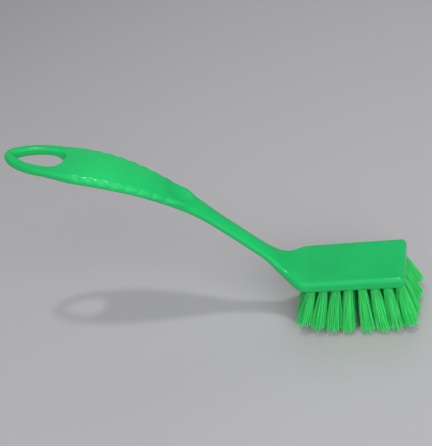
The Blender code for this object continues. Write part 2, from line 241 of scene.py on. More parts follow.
def moulded_skin(tree, place):
    """The moulding's bumps: the long wave of the mould's polish, and the resin's grain over it."""
    wave = add_node(
        tree, "ShaderNodeTexNoise",
        inputs={"Scale": 1 / SURFACE_WAVE, "Detail": 1.0}, links={"Vector": place},
    )
    wavy = add_node(
        tree, "ShaderNodeBump", inputs={"Strength": WAVE_STRENGTH, "Distance": WAVE_HEIGHT},
        links={"Height": wave.outputs["Fac"]},
    )
    grain = add_node(
        tree, "ShaderNodeTexNoise",
        inputs={"Scale": 1 / FINE_GRAIN, "Detail": 2.0}, links={"Vector": place},
    )
    grainy = add_node(
        tree, "ShaderNodeBump", inputs={"Strength": GRAIN_STRENGTH, "Distance": GRAIN_HEIGHT},
        links={"Height": grain.outputs["Fac"], "Normal": wavy.outputs["Normal"]},
    )
    return grainy.outputs["Normal"]


def polypropylene():
    """Moulded polypropylene: a soft gloss on one opaque green."""
    material, output = new_material("polypropylene_moulded_green")
    tree = material.node_tree
    place = add_node(tree, "ShaderNodeTexCoord").outputs["Object"]
    shader = add_node(
        tree, "ShaderNodeBsdfPrincipled", inputs={"IOR": POLYPROPYLENE_IOR, "Metallic": 0.0},
        links={
            "Base Color": moulded_green(tree, place),
            "Roughness": moulded_gloss(tree, place),
            "Normal": moulded_skin(tree, place),
        },
    )
    tree.links.new(shader.outputs["BSDF"], output.inputs["Surface"])
    return material


body_plastic = polypropylene()
print("made", body_plastic.name, "with", len(body_plastic.node_tree.nodes), "nodes")

# %% [markdown]
# ## Polyester filament, drawn and trimmed: its dye and painted shade
#
# The bristles are polyester filament, about half a millimetre thick, drawn through a die and cut
# straight. No two take the dye alike, so a tuft is streaked with near greens. The cut tips are
# roughened by the trimming knife and look a little paler. Under the head, where little light
# comes in, the green is painted deeper, as painted shade. A fur or hair system could grow the
# bristles. Real tubes are chosen here, because they export, shade one another, and stay where the
# solid model's strands are. Each tube is its own island of the mesh, and a random value per
# island tints it.

# %% The filament's dye and painted shade
TIP_HEIGHT = 2 * MM
PALE_TIP_TOP = 9 * MM
PALE_TIP_SHARE = 0.35
# Painted shade: from its foot up to its top the green is painted deeper, near the head
PAINTED_SHADE_TOP = 34 * MM
PAINTED_SHADE_FOOT = 22 * MM
PAINTED_SHADE_SHARE = 0.45


def dye_and_painted_shade(tree, place):
    """The filament's colour: a tint per strand, paler at the cut tip, painted shade at the root."""
    strand = add_node(tree, "ShaderNodeNewGeometry").outputs["Random Per Island"]
    dye = add_node(tree, "ShaderNodeValToRGB", links={"Fac": strand})
    deep, pale = dye.color_ramp.elements
    deep.position, pale.position = 0.0, 1.0
    deep.color, pale.color = linear("#28E668"), linear("#54FA80")
    middle = dye.color_ramp.elements.new(0.5)
    middle.color = linear("#3CF070")

    height = add_node(tree, "ShaderNodeSeparateXYZ", links={"Vector": place}).outputs["Z"]
    tip = add_node(
        tree, "ShaderNodeMapRange", settings={"interpolation_type": "SMOOTHSTEP"},
        inputs={"From Min": PALE_TIP_TOP, "From Max": TIP_HEIGHT, "To Max": PALE_TIP_SHARE},
        links={"Value": height},
    )
    trimmed = add_node(
        tree, "ShaderNodeMix", settings={"data_type": "RGBA"}, inputs={"B": linear("#70FF8C")},
        links={"Factor": tip.outputs["Result"], "A": dye.outputs["Color"]},
    )
    # Painted shade: the strands turn a deeper green toward the head, where little light reaches
    root = add_node(
        tree, "ShaderNodeMapRange", settings={"interpolation_type": "SMOOTHSTEP"},
        inputs={"From Min": PAINTED_SHADE_FOOT, "From Max": PAINTED_SHADE_TOP, "To Max": PAINTED_SHADE_SHARE},
        links={"Value": height},
    )
    shaded = add_node(
        tree, "ShaderNodeMix", settings={"data_type": "RGBA"}, inputs={"B": linear("#2CDC60")},
        links={"Factor": root.outputs["Result"], "A": trimmed.outputs["Result"]},
    )
    return shaded.outputs["Result"]


print(f"tips pale below {PALE_TIP_TOP / MM:.0f} mm, roots deepen above {PAINTED_SHADE_FOOT / MM:.0f} mm")

# %% [markdown]
# ## Polyester filament, drawn and trimmed: its shine and glow
#
# Drawing leaves a filament silky along its length, duller than the moulding. It is a little
# translucent: some subsurface scattering lets light soak through, which keeps the gaps between
# the tufts green. A mix with a transparent shader could do that too, but it would thin the
# strands. The die's marks are finer than a picture can show, so their noise is drawn coarser.

# %% The bristles' filament
FIBRE_GRAIN = 1.5 * MM
FIBRE_HEIGHT = 0.02 * MM
FIBRE_STRENGTH = 0.3
SILKY_ROUGHNESS = 0.36
DRY_ROUGHNESS = 0.5
POLYESTER_IOR = 1.57
GLOW_SHARE = 0.7
GLOW_DEPTH = 1.5 * MM
# Green light soaks furthest into a green filament
GLOW_COLOUR_SHARES = (0.35, 1.0, 0.5)


def filament():
    """Drawn polyester: silky, tinted strand by strand, with light soaking through."""
    material, output = new_material("polyester_filament_green")
    tree = material.node_tree
    place = add_node(tree, "ShaderNodeTexCoord").outputs["Object"]
    fibre = add_node(
        tree, "ShaderNodeTexNoise",
        inputs={"Scale": 1 / FIBRE_GRAIN, "Detail": 2.0}, links={"Vector": place},
    )
    roughness = add_node(
        tree, "ShaderNodeMapRange",
        inputs={
            "From Min": NOISE_RANGE[0], "From Max": NOISE_RANGE[1],
            "To Min": SILKY_ROUGHNESS, "To Max": DRY_ROUGHNESS,
        },
        links={"Value": fibre.outputs["Fac"]},
    )
    bumpy = add_node(
        tree, "ShaderNodeBump", inputs={"Strength": FIBRE_STRENGTH, "Distance": FIBRE_HEIGHT},
        links={"Height": fibre.outputs["Fac"]},
    )
    shader = add_node(
        tree, "ShaderNodeBsdfPrincipled",
        inputs={
            "IOR": POLYESTER_IOR, "Metallic": 0.0, "Subsurface Weight": GLOW_SHARE,
            "Subsurface Scale": GLOW_DEPTH, "Subsurface Radius": GLOW_COLOUR_SHARES,
        },
        links={
            "Base Color": dye_and_painted_shade(tree, place),
            "Roughness": roughness.outputs["Result"],
            "Normal": bumpy.outputs["Normal"],
        },
    )
    tree.links.new(shader.outputs["BSDF"], output.inputs["Surface"])
    return material


bristle_plastic = filament()
print("made", bristle_plastic.name, "with", len(bristle_plastic.node_tree.nodes), "nodes")

# %% [markdown]
# ## The head's sizes and its place
#
# The head is a flat block with 4 rows of 8 tufts. These are the solid model's own sizes, so the
# finer skin lands on the same surface, and only the free corners are drawn a little tighter.
# Everything is drawn from the head's top, over the middle of the tufts, where sizes are easy to
# follow. One move then takes it to the place of the loaded model, which is read from two pieces.

# %% Sizes of the head
HEAD_WIDTH = 42.0 * MM
HEAD_THICKNESS = 8.4 * MM
HEAD_EDGE_RADIUS = 3.0 * MM
HEAD_CORNER_RADIUS = 2.6 * MM
HEAD_FRONT_MARGIN = 4.2 * MM
HEAD_REAR_MARGIN = 1.3 * MM
COLUMNS = 8
ROWS = 4
COLUMN_PITCH = 7.9 * MM
ROW_PITCH = 9.7 * MM
LAST_COLUMN = COLUMN_PITCH * (COLUMNS - 1) / 2
LAST_ROW = ROW_PITCH * (ROWS - 1) / 2
HEAD_FRONT = LAST_COLUMN + HEAD_FRONT_MARGIN
HEAD_REAR = -LAST_COLUMN - HEAD_REAR_MARGIN
SOCKET_DEPTH = 6.2 * MM
SEAT_GAP = 0.3 * MM

head_front_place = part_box("handle_body")[1].x
head_top_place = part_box("tuft_r1_c1")[1].z + HEAD_THICKNESS - (SOCKET_DEPTH - SEAT_GAP)
to_place = Matrix.Translation((head_front_place - HEAD_FRONT, 0, head_top_place))
print(f"the head's top is {head_top_place / MM:.2f} mm over the floor")

# %% [markdown]
# ## The handle's top line
#
# The handle is drawn from its side: a top line that leaves the head level, bends up into the
# neck, runs straight, and arches over into the grip and the eye. It could be a free curve pulled
# into shape by eye. Straight and round runs are chosen instead, as on a drawing, because each
# has a plain size, and the place at any distance along them is a short sum.

# %% Top line
BEND_RADIUS = 24.0 * MM
NECK_ANGLE = 46.8 * DEGREE
NECK_LENGTH = 56.8 * MM
ARCH_RADIUS = 172.0 * MM
EYE_ANGLE = 15.0 * DEGREE
EYE_LENGTH = 44.6 * MM
SPINE_RUNS = (
    (BEND_RADIUS * NECK_ANGLE, BEND_RADIUS),
    (NECK_LENGTH, None),
    (ARCH_RADIUS * (NECK_ANGLE - EYE_ANGLE), -ARCH_RADIUS),
    (EYE_LENGTH, None),
)
HANDLE_RUN = sum(length for length, _ in SPINE_RUNS)


def spine(distance):
    """The x, z and upward angle of the handle's top line, that far from the head."""
    x, z, angle = HEAD_REAR, 0.0, 0.0
    for length, radius in SPINE_RUNS:
        step = min(distance, length)
        if radius is None:
            x -= step * math.cos(angle)
            z += step * math.sin(angle)
        else:
            turned = angle + step / radius
            x -= radius * (math.sin(turned) - math.sin(angle))
            z += radius * (math.cos(angle) - math.cos(turned))
            angle = turned
        distance -= step
    return x, z, angle


def spine_frame(distance, depth):
    """Axes along the handle, across it and out of its top, at a depth under the top line."""
    x, z, angle = spine(distance)
    along = Vector((-math.cos(angle), 0, math.sin(angle)))
    up = Vector((math.sin(angle), 0, math.cos(angle)))
    across = up.cross(along)
    place = Vector((x, 0, z)) - up * depth
    return Matrix.Translation(place) @ Matrix((along, across, up)).transposed().to_4x4()


print(f"the handle runs {HANDLE_RUN / MM:.0f} mm along its top line")

# %% [markdown]
# ## Widths and thicknesses
#
# The body flares from the neck into the head, and swells from the neck into the grip. A smooth
# curve through a few chosen shares gives each of the two. Hermite curves are used because they
# pass through their points and don't overshoot much, the way a draughtsman's spline lies on its
# weights. The eye is a little narrower and flatter than the grip, and ends in a nose.

# %% Widths and thicknesses along the handle
NECK_WIDTH = 11.6 * MM
NECK_THICKNESS = 6.9 * MM
THINNING_LENGTH = 10.0 * MM
FLARE_LENGTH = 36.0 * MM
FLARE_SHARES = (
    (0.0, 1.0), (0.07, 0.995), (0.14, 0.955), (0.22, 0.82), (0.33, 0.55),
    (0.46, 0.31), (0.62, 0.13), (0.81, 0.03), (1.0, 0.0),
)
GRIP_WIDTH = 35.0 * MM
GRIP_THICKNESS = 8.7 * MM
GRIP_START = 57.3 * MM
GRIP_RUN = 105.0 * MM
GRIP_SHARES = (
    (0.0, 0.0), (0.13, 0.02), (0.26, 0.145), (0.42, 0.38),
    (0.59, 0.62), (0.76, 0.84), (0.90, 0.965), (1.0, 1.0),
)
EYE_THICKNESS = 6.6 * MM
EYE_WIDTH_SHARE = 0.92
EYE_START = 168.0 * MM
NOSE_LENGTH = 31.0 * MM
NOSE_START = HANDLE_RUN - NOSE_LENGTH


def smooth_value(rows, place):
    """The value at a place on a smooth curve through rows of place and value."""
    places, values = np.array(rows).T
    slopes = np.gradient(values, places)
    i = int(np.clip(np.searchsorted(places, place) - 1, 0, len(places) - 2))
    span = places[i + 1] - places[i]
    t = min(max((place - places[i]) / span, 0), 1)
    rest = 1 - t
    start = (1 + 2 * t) * rest**2 * values[i] + t * rest**2 * span * slopes[i]
    end = t**2 * (3 - 2 * t) * values[i + 1] - t**2 * rest * span * slopes[i + 1]
    return float(start + end)


def flare_share(distance):
    return smooth_value(FLARE_SHARES, distance / FLARE_LENGTH)


def grip_share(distance):
    return smooth_value(GRIP_SHARES, (distance - GRIP_START) / GRIP_RUN)


def eye_share(distance):
    return min(max((distance - EYE_START) / (NOSE_START - EYE_START), 0), 1)


def handle_width(distance):
    eye = 1 - (1 - EYE_WIDTH_SHARE) * eye_share(distance)
    width = NECK_WIDTH + (HEAD_WIDTH - NECK_WIDTH) * flare_share(distance)
    return width + (GRIP_WIDTH * eye - NECK_WIDTH) * grip_share(distance)


def handle_thickness(distance):
    head = 1 - min(distance / THINNING_LENGTH, 1)
    grip = GRIP_THICKNESS + (EYE_THICKNESS - GRIP_THICKNESS) * eye_share(distance)
    thickness = NECK_THICKNESS + (HEAD_THICKNESS - NECK_THICKNESS) * head
    return thickness + (grip - NECK_THICKNESS) * grip_share(distance)


print(f"behind the flare the neck is {handle_width(FLARE_LENGTH) / MM:.1f} mm wide")

# %% [markdown]
# ## Sections across the body
#
# Cut across anywhere, the body is a rounded rectangle. The grip is slightly crowned, since a
# moulding that is drawn flat comes out of its mould looking hollow. One function gives the
# points of any section, always equally many, so that neighbouring sections can be joined point
# by point.

# %% Sections
CORNER_STEPS = 8
CROWN_SHARES = (-0.6, -0.3, 0.0, 0.3, 0.6)


def section(half_width, half_thickness, corner, crown):
    """A rounded rectangle, a little higher in the middle, as points across and up."""
    points = []
    for quarter, (across, up) in enumerate(((1, 1), (-1, 1), (-1, -1), (1, -1))):
        centre = (across * (half_width - corner), up * (half_thickness - crown - corner))
        for step in range(CORNER_STEPS + 1):
            turn = (quarter + step / CORNER_STEPS) * math.pi / 2
            points.append((centre[0] + corner * math.cos(turn), centre[1] + corner * math.sin(turn)))
        if quarter in (0, 2):
            # The crown rises as a shallow arc between the two corners
            for share in CROWN_SHARES:
                height = half_thickness - crown * share**2
                points.append((-share * up * (half_width - corner), up * height))
    return points


def ring_at(place, points):
    return [place @ Vector((0, across, up)) for across, up in points]


def rounded(radius, into):
    """How far a rounded edge still lies inside its full size, at a distance in from the end."""
    if into >= radius:
        return 0.0
    return radius - math.sqrt(radius**2 - (radius - into) ** 2)


print("a section has", len(section(NECK_WIDTH / 2, NECK_THICKNESS / 2, HEAD_EDGE_RADIUS, 0)), "points")

# %% [markdown]
# ## The skin of the body
#
# A loft joins many sections into one closed skin. Box modelling with subdivision could make the
# same shape, but sections keep each width exact. They lie 1.5 mm apart, close enough that the
# arch shows no flats, and the free end of the head and the tip of the eye close with ever
# smaller rings, as a moulding's rounded ends do.

# %% Rings of the head and the handle
SECTION_STEP = 1.5 * MM
END_STEPS = 12
CORNER_SHARE = 0.92
GRIP_CROWN = 0.7 * MM
NOSE_POWER = 1.78
NOSE_STEPS = 24
LAST_RING_SHARE = 0.25


def head_rings():
    rings = []
    place = spine_frame(0, HEAD_THICKNESS / 2)
    ends = [HEAD_CORNER_RADIUS * (1 - math.cos(math.pi / 2 * i / END_STEPS)) for i in range(END_STEPS)]
    block = np.arange(HEAD_CORNER_RADIUS, HEAD_FRONT - HEAD_REAR, SECTION_STEP)
    for into in [*ends, *block]:
        half_width = HEAD_WIDTH / 2 - rounded(HEAD_CORNER_RADIUS, into)
        half_thickness = HEAD_THICKNESS / 2 - rounded(HEAD_EDGE_RADIUS, into)
        corner = min(HEAD_EDGE_RADIUS, half_thickness * CORNER_SHARE)
        shift = Matrix.Translation((HEAD_FRONT - into - HEAD_REAR, 0, 0))
        rings.append(ring_at(shift @ place, section(half_width, half_thickness, corner, 0)))
    return rings


def handle_rings():
    places = list(np.arange(0, NOSE_START, SECTION_STEP))
    turns = [math.pi / 2 * i / NOSE_STEPS for i in range(NOSE_STEPS)]
    places += [NOSE_START + NOSE_LENGTH * math.sin(turn) for turn in turns]
    places.append(HANDLE_RUN - (HANDLE_RUN - places[-1]) * LAST_RING_SHARE)
    rings = []
    for distance in places:
        thickness = handle_thickness(distance)
        nose = max(distance - NOSE_START, 0) / NOSE_LENGTH
        half_width = handle_width(distance) / 2 * (1 - nose**NOSE_POWER) ** (1 / NOSE_POWER)
        half_thickness = thickness / 2 - rounded(thickness / 2, HANDLE_RUN - distance) * CORNER_SHARE
        flare = flare_share(distance)
        crown = min(GRIP_CROWN * (1 - flare), half_thickness / 2) * (1 - nose)
        full = min(half_thickness - crown, half_width) * CORNER_SHARE
        corner = full + (min(HEAD_EDGE_RADIUS, full) - full) * flare
        points = section(half_width, half_thickness, corner, crown)
        rings.append(ring_at(spine_frame(distance, thickness / 2), points))
    return rings


def loft(name, rings):
    """A closed skin over rings of equally many points."""
    shape = bmesh.new()
    rows = [[shape.verts.new(point) for point in ring] for ring in rings]
    count = len(rows[0])
    for near, far in zip(rows, rows[1:]):
        for i in range(count):
            j = (i + 1) % count
            shape.faces.new((near[i], near[j], far[j], far[i]))
    shape.faces.new(rows[0])
    shape.faces.new(rows[-1])
    return object_from(shape, name)


body = loft("brush_body", head_rings() + handle_rings())
print("the skin has", len(body.data.polygons), "faces")

# %% [markdown]
# ## The hanging eye
#
# The eye is a drop-shaped hole to hang the brush up by: round toward the grip, pointed toward
# the tip. In the mould it is a steel pin, and here too it is cut with a helper of its shape, as
# a Boolean. Drawing the hole into the sections would be the other way, but their rings would
# have to part round it. The cutter widens at both faces, so that it leaves a rounded rim, except
# toward the grip, where the wall stands straight and leans in below.

# %% Cutter of the eye
OVERRUN = 1.0 * MM
HOLE_LENGTH = 32.2 * MM
HOLE_WIDTH = 18.0 * MM
HOLE_TO_TIP = 6.0 * MM
HOLE_POINT_SHARE = 0.74
HOLE_ROUND_POWER = 2.5
HOLE_POINT_POWER = 2.5
HOLE_STEPS = 24
RIM_RADIUS = 2.9 * MM
RIM_STEPS = 8
GRIP_WALL_SHARE = 0.2
GRIP_WALL_LEAN = 1.8 * MM


def drop_outline(half_width, length, grow):
    """The eye's drop, blunt and round toward the grip and pointed toward the tip."""
    point_run = length * HOLE_POINT_SHARE
    round_run = length - point_run
    side = []
    for step in range(HOLE_STEPS):
        share = 1 - step / HOLE_STEPS
        along = share * (point_run + grow)
        side.append((along, (half_width + grow) * (1 - share**HOLE_POINT_POWER)))
    for step in range(HOLE_STEPS + 1):
        turn = math.pi / 2 * step / HOLE_STEPS
        blunt = 2 / HOLE_ROUND_POWER
        along = -(round_run + grow) * math.sin(turn) ** blunt
        side.append((along, (half_width + grow) * math.cos(turn) ** blunt))
    side[-1] = (side[-1][0], 0.0)
    return side + [(along, -across) for along, across in side[-2:0:-1]]


def rim_levels():
    """Heights over the eye's middle, each with the share by which the hole opens to its mouth."""
    straight = EYE_THICKNESS / 2 - RIM_RADIUS
    levels = [(EYE_THICKNESS / 2 + OVERRUN, 1.0)]
    for step in range(RIM_STEPS + 1):
        turn = math.pi / 2 * (1 - step / RIM_STEPS)
        levels.append((straight + RIM_RADIUS * math.sin(turn), 1 - math.cos(turn)))
    return levels + [(-height, open_share) for height, open_share in reversed(levels)]


def eye_cutter():
    widest = HANDLE_RUN - HOLE_TO_TIP - HOLE_LENGTH * HOLE_POINT_SHARE
    place = spine_frame(widest, 0)
    waist = drop_outline(HOLE_WIDTH / 2, HOLE_LENGTH, 0)
    mouth = drop_outline(HOLE_WIDTH / 2, HOLE_LENGTH, RIM_RADIUS)
    rings = []
    for height, open_share in rim_levels():
        ring = []
        for inner, outer in zip(waist, mouth):
            into_grip = min(max(-inner[0] / (HOLE_LENGTH * (1 - HOLE_POINT_SHARE)), 0), 1)
            opened = open_share + (1 - open_share) * (1 - GRIP_WALL_SHARE) * into_grip**2
            lean = GRIP_WALL_LEAN * into_grip * (1 - height / (EYE_THICKNESS / 2)) / 2
            along = inner[0] + (outer[0] - inner[0]) * opened + lean
            across = (inner[1] + (outer[1] - inner[1]) * opened) * (1 - lean / (HOLE_WIDTH / 2))
            thicker = handle_thickness(widest + along) / EYE_THICKNESS
            ring.append(place @ Vector((along, across, (height - EYE_THICKNESS / 2) * thicker)))
        rings.append(ring)
    return loft("eye_cutter", rings)


eye = eye_cutter()
print(f"the eye is {HOLE_LENGTH / MM:.1f} mm long and {HOLE_WIDTH / MM:.1f} mm wide")

# %% [markdown]
# ## The tuft holes
#
# Each tuft is punched into a blind hole in the underside of the head. On a real head such holes
# are drilled, or moulded over pins. One helper with all 32 cylinders cuts them in a single
# Boolean, which is quicker than 32 cuts. Each hole is wider than its tuft by a small gap.

# %% Cutter of the tuft holes
TUFT_DIAMETER = 4.8 * MM
HOLE_SIDES = 24


def socket_cutter():
    shape = bmesh.new()
    height = SOCKET_DEPTH + OVERRUN
    radius = TUFT_DIAMETER / 2 + SEAT_GAP
    for row in range(ROWS):
        for column in range(COLUMNS):
            x = column * COLUMN_PITCH - LAST_COLUMN
            y = row * ROW_PITCH - LAST_ROW
            middle = Matrix.Translation((x, y, height / 2 - OVERRUN - HEAD_THICKNESS))
            bmesh.ops.create_cone(
                shape, cap_ends=True, segments=HOLE_SIDES, radius1=radius, radius2=radius,
                depth=height, matrix=middle,
            )
    return object_from(shape, "socket_cutter")


sockets = socket_cutter()
print(ROWS * COLUMNS, f"tuft holes, each {SOCKET_DEPTH / MM:.1f} mm deep")

# %% [markdown]
# ## The scallops of the grip
#
# Eight shallow scallops along each upper edge of the grip stop a wet hand from sliding. They
# could be waves in the width of the sections, but the real ones bite into the edge at a slant.
# So they are cut, each with a cylinder that lies across the edge and leans outward, and the
# ridges that are left between them catch the light.

# %% Cutter of the scallops
SCALLOPS = 8
SCALLOP_PITCH = 8.3 * MM
SCALLOP_FIRST = 103.3 * MM
SCALLOP_DEPTH = 0.6 * MM
SCALLOP_SHARE = 0.7
SCALLOP_TILT = 50 * DEGREE
SCALLOP_SIDES = 48


def scallop_cutter():
    radius = SCALLOP_PITCH * SCALLOP_SHARE
    shape = bmesh.new()
    for i in range(SCALLOPS):
        distance = SCALLOP_FIRST + i * SCALLOP_PITCH
        edge_radius = handle_thickness(distance) / 2 * CORNER_SHARE
        place = spine_frame(distance, handle_thickness(distance) / 2)
        for side in (-1, 1):
            edge = Matrix.Translation((0, side * (handle_width(distance) / 2 - edge_radius), 0))
            lean = Matrix.Rotation(-side * SCALLOP_TILT, 4, "X")
            out = Matrix.Translation((0, 0, edge_radius - SCALLOP_DEPTH + radius))
            lie = Matrix.Rotation(math.pi / 2, 4, "X")
            bmesh.ops.create_cone(
                shape, cap_ends=True, segments=SCALLOP_SIDES, radius1=radius, radius2=radius,
                depth=GRIP_THICKNESS, matrix=place @ edge @ lean @ out @ lie,
            )
    return object_from(shape, "scallop_cutter")


scallops = scallop_cutter()
print(2 * SCALLOPS, f"scallops, each {SCALLOP_DEPTH / MM:.1f} mm deep")

# %% [markdown]
# ## The thumb rest
#
# Where the grip runs into the neck, the thumb lies in a long shallow dish with a low lip toward
# the neck. Sculpting would be the free way to make it. Two flattened balls give the same form
# with sizes that can be read: the lip is first joined on as a low swelling, and the dish is then
# cut into it, tilted a little so that it runs out toward the palm.

# %% Dish and lip of the thumb rest
THUMB_PLACE = 101.5 * MM
THUMB_LENGTH = 21.0 * MM
THUMB_WIDTH = 13.5 * MM
THUMB_DEPTH = 1.6 * MM
THUMB_BALL = 3.6 * MM
THUMB_TILT = 8 * DEGREE
LIP_PLACE = 95.5 * MM
LIP_LENGTH = 20.0 * MM
LIP_WIDTH = 18.5 * MM
LIP_HEIGHT = 0.35 * MM
LIP_BALL = 1.6 * MM
BALL_SIDES = 64


def flat_ball(name, place, size):
    """A ball of half axes size, at a place, as an object."""
    shape = bmesh.new()
    bmesh.ops.create_uvsphere(
        shape, u_segments=BALL_SIDES, v_segments=BALL_SIDES, radius=1,
        matrix=place @ Matrix.Diagonal((*size, 1)),
    )
    return object_from(shape, name)


def thumb_cutter():
    sink = THUMB_BALL - THUMB_DEPTH
    widen = THUMB_BALL / math.sqrt(THUMB_BALL**2 - sink**2)
    size = Vector((THUMB_LENGTH / 2 * widen, THUMB_WIDTH / 2 * widen, THUMB_BALL))
    tilt = Matrix.Rotation(-THUMB_TILT, 4, "Y") @ Matrix.Translation((0, 0, sink))
    return flat_ball("thumb_cutter", spine_frame(THUMB_PLACE, 0) @ tilt, size)


def thumb_lip():
    """A low swelling under the thumb, of which the dish leaves a raised lip."""
    size = Vector((LIP_LENGTH / 2, LIP_WIDTH / 2, LIP_BALL))
    return flat_ball("thumb_lip", spine_frame(LIP_PLACE, LIP_BALL - LIP_HEIGHT), size)


lip = thumb_lip()
dish = thumb_cutter()
print(f"the thumb's dish is {THUMB_LENGTH / MM:.0f} mm long, its lip {LIP_HEIGHT / MM:.2f} mm high")

# %% [markdown]
# ## Cut the moulding
#
# The lip, the eye, the tuft holes, the scallops and the dish are applied to the skin one after
# the other, as modifiers, in the order in which one would machine them. The exact solver is
# slower than the fast one, but it keeps the skin closed where cuts meet. The modifiers are then
# kept as plain faces, and the helpers are thrown away.

# %% Join the lip and make the cuts
def keep_modifiers(thing):
    """Swaps an object's mesh for the one that its modifiers make."""
    graph = bpy.context.evaluated_depsgraph_get()
    finished = bpy.data.meshes.new_from_object(thing.evaluated_get(graph))
    thing.modifiers.clear()
    thing.data = finished


steps = [(lip, "UNION"), *((cutter, "DIFFERENCE") for cutter in (eye, sockets, scallops, dish))]
for helper, operation in steps:
    work = body.modifiers.new(helper.name, "BOOLEAN")
    work.object = helper
    work.operation = operation
    work.solver = "EXACT"
keep_modifiers(body)
for helper, _ in steps:
    bpy.data.objects.remove(helper)
print("after the cuts the body has", len(body.data.polygons), "faces")

# %% [markdown]
# ## One soft moulding
#
# Cuts leave knife edges, and a moulding has none: every edge of the steel is radiused, so that
# the part lets go of the mould. A bevel would have to find each edge. A voxel remesh followed by
# a few rounds of smoothing melts all of them alike, by about the radius a toolmaker would give,
# and leaves even faces that shine evenly.

# %% Remesh, smooth and put in place
SKIN_VOXEL = 0.5 * MM
SMOOTH_ROUNDS = 5
SMOOTH_SHARE = 0.5

even = body.modifiers.new("even_faces", "REMESH")
even.mode = "VOXEL"
even.voxel_size = SKIN_VOXEL
soften = body.modifiers.new("soft_edges", "SMOOTH")
soften.factor = SMOOTH_SHARE
soften.iterations = SMOOTH_ROUNDS
keep_modifiers(body)
body.data.transform(to_place)
body.data.shade_smooth()
body.data.materials.clear()
body.data.materials.append(body_plastic)
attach(body, "root")
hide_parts("handle_body")
print("the body has", len(body.data.polygons), "faces")

# %% [markdown]
# ## Trim and fan of the tufts
#
# The head is trimmed after it is filled, to a gentle dome: the tufts at both ends and along both
# sides are shorter, the outer rows somewhat more than in the solid model. The tufts don't stand
# parallel either. Those at the ends lean out, and so do the outer rows. One could place each
# tuft by hand. A short list of shares for the columns and a formula for the rows keep the fan
# easy to change.

# %% Length and lean of a tuft
TUFT_LENGTH = 33.8 * MM
END_RISE = 4.3 * MM
END_POWER = 2.2
LONGEST_PLACE_SHARE = 0.15
SIDE_RISE = 2.4 * MM
FAN_ANGLE = 20 * DEGREE
COLUMN_FAN_SHARES = (-1.15, -0.89, -0.63, -0.42, 0.07, 0.34, 0.44, 0.56)
CORNER_FAN = 3 * DEGREE
SPLAY_ANGLE = 12 * DEGREE


def cut_length(base):
    """How far under the head a tuft is trimmed: a gentle dome over the whole head."""
    end = END_RISE * abs(base.x / LAST_COLUMN - LONGEST_PLACE_SHARE) ** END_POWER
    return TUFT_LENGTH - end - SIDE_RISE * (base.y / LAST_ROW) ** 2


def tuft_lean(base, column):
    """How far a tuft leans along and across the head, for each length that it goes down."""
    fan = FAN_ANGLE * COLUMN_FAN_SHARES[column]
    fan += CORNER_FAN * base.x / LAST_COLUMN * base.y / LAST_ROW
    return Vector((math.tan(fan), math.tan(SPLAY_ANGLE * base.y / LAST_ROW), 0))


print(f"the end tufts are up to {END_RISE * (1 + LONGEST_PLACE_SHARE) ** END_POWER / MM:.1f} mm shorter")

# %% [markdown]
# ## Strands of a tuft
#
# A tuft is a bundle of filaments, folded over a wire and punched into its hole. The hole holds
# the bundle tight, and below it the filaments spring apart. Sunflower spacing fills the round
# bundle evenly, where random places would clump and leave gaps. Every filament gets a slight bow
# and its own cut length, and a few stray from the bundle, since a fan of perfectly straight
# lines looks printed.

# %% One strand
STRANDS = 140
STRAND_RADIUS = 0.24 * MM
TIP_SPREAD = 5.3 * MM
SIDE_SPREAD = 5.8 * MM
SPREAD_POWER = 0.8
SPREAD_SHARES = (0.85, 1.1)
STRAY_SHARE = 0.06
STRAY_SPREAD_SHARE = 1.3
UNEVEN = 2.0 * MM
BOW = 0.5 * MM
# The bow is this share of a half wave, so that it is widest below the strand's middle
BOW_RUN_SHARE = 0.8
ROOT_DEPTH = 3.0 * MM
GOLDEN_TURN = math.pi * (3 - math.sqrt(5))
STATION_SHARES = (0.0, 0.12, 0.35, 0.6, 0.82, 1.0)


def strand_places(base, lean, row, column, number, chance):
    """Places along one strand: the first inside its hole, then one for each station."""
    reach = math.sqrt((number + 0.5) / STRANDS)
    turn = number * GOLDEN_TURN + row + column
    outward = Vector((math.cos(turn), math.sin(turn), 0)) * reach
    length = cut_length(base) - UNEVEN * chance.random()
    start = base + outward * (TUFT_DIAMETER / 2 - STRAND_RADIUS)
    spread = Vector((outward.x * TIP_SPREAD, outward.y * SIDE_SPREAD, 0))
    spread -= outward * TUFT_DIAMETER / 2
    stray = chance.random() < STRAY_SHARE
    spread *= STRAY_SPREAD_SHARE if stray else chance.uniform(*SPREAD_SHARES)
    bow = Vector((chance.normal(), chance.normal(), 0)) * BOW
    places = [start + Vector((0, 0, ROOT_DEPTH))]
    for share in STATION_SHARES:
        place = start + spread * share**SPREAD_POWER + lean * length * share
        place += bow * math.sin(math.pi * share * BOW_RUN_SHARE) + Vector((0, 0, -length * share))
        places.append(place)
    return places


print(f"a strand is {2 * STRAND_RADIUS / MM:.2f} mm thick and has {len(STATION_SHARES) + 1} places")

# %% [markdown]
# ## The tufts
#
# A tuft is one curve object with 140 lines in it, to which a bevel gives thickness, so that all
# its strands stay tubes with closed ends at little cost. Four sides are enough for tubes as thin
# as these, since smooth shading rounds them. Each line narrows a little toward its tip, which
# lets the trimmed end look fine. Every tuft draws its chances from a seed of its own, so the
# brush comes out the same each time, and no two tufts are alike.

# %% Make the tufts
TAPER_SHARE = 0.25
SEED_STEP = 100


